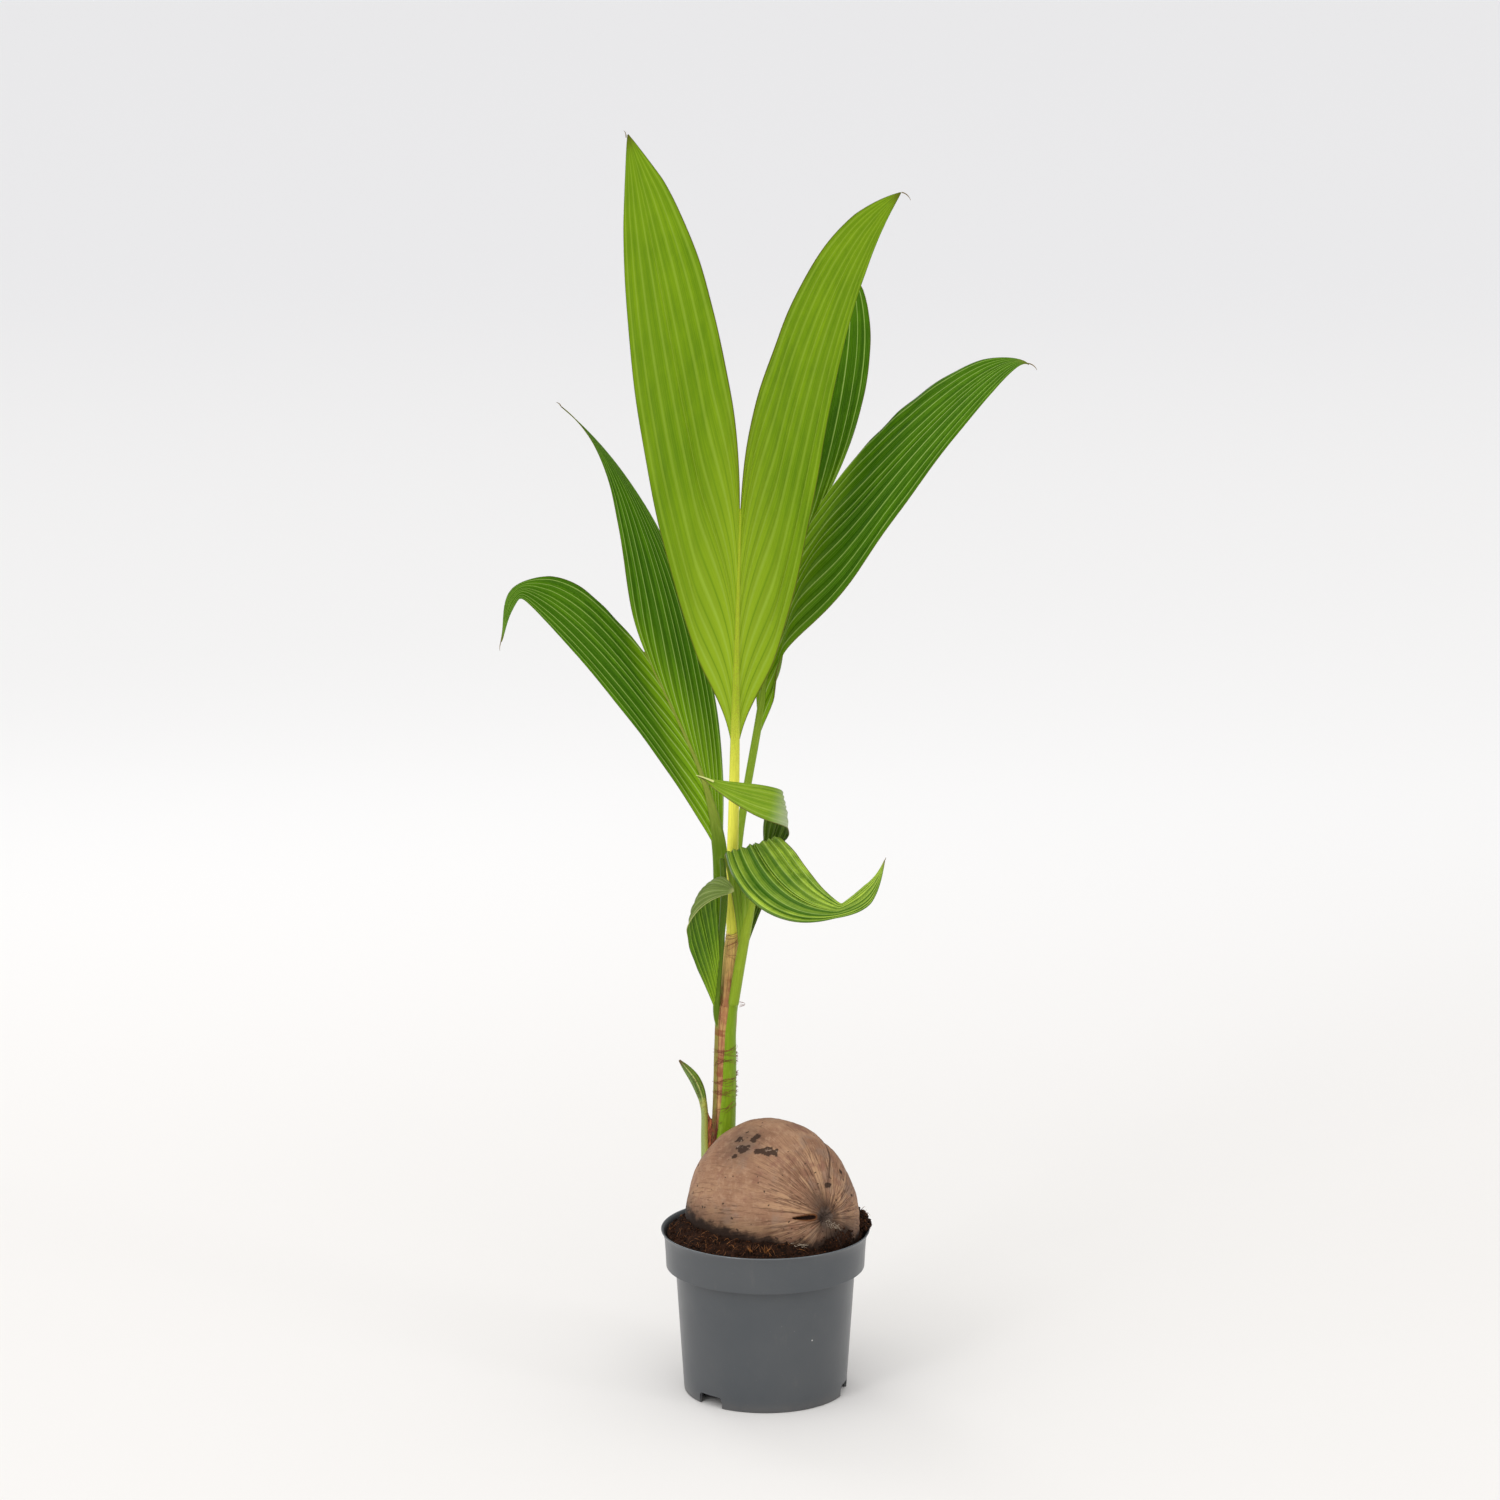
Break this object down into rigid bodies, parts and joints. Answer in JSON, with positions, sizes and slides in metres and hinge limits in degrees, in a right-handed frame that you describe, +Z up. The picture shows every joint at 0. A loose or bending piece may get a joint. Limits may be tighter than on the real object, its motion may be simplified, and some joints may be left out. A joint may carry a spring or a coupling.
{
  "type": "potted coconut palm",
  "caption": "Young coconut palm sprouting from its nut, with broad pleated leaves split like a fish's tail, in a round tapering nursery pot filled with soil.",
  "frame": {"origin": "centre of the pot's flat underside, where the plant stands", "axes": "+Z up along the plant, -Y towards the front of the plant as pictured, +X to the right as seen from the front"},
  "size_m": [0.4808, 0.2816, 1.138],
  "materials": {
    "pot_plastic": "satin",
    "potting_soil": "matte",
    "nut_husk": "matte",
    "stem_sheath": "matte",
    "leaf_midrib": "satin",
    "young_shoot": "satin",
    "young_leaf": "satin",
    "mature_leaf": "satin"
  },
  "bodies": {
    "root": {"pot": "pot_plastic", "soil": "potting_soil", "coconut": "nut_husk", "stem": "stem_sheath", "side_shoot": "young_shoot", "leaf_a_rachis": "leaf_midrib", "leaf_a_left": "young_leaf", "leaf_a_right": "young_leaf", "leaf_b_rachis": "leaf_midrib", "leaf_b_left": "mature_leaf", "leaf_b_left_tip": "mature_leaf", "leaf_b_right": "mature_leaf", "leaf_c_rachis": "leaf_midrib", "leaf_c_right": "mature_leaf", "leaf_c_back": "mature_leaf", "leaf_d_rachis": "leaf_midrib", "leaf_d_left_rise": "young_leaf", "leaf_d_left_hang": "young_leaf", "leaf_d_left_tip": "young_leaf", "leaf_d_right_rise": "mature_leaf", "leaf_d_right_curl": "young_leaf", "leaf_e_rachis": "leaf_midrib", "leaf_e_rise": "mature_leaf", "leaf_e_roll": "mature_leaf"}
  },
  "joints": []
}
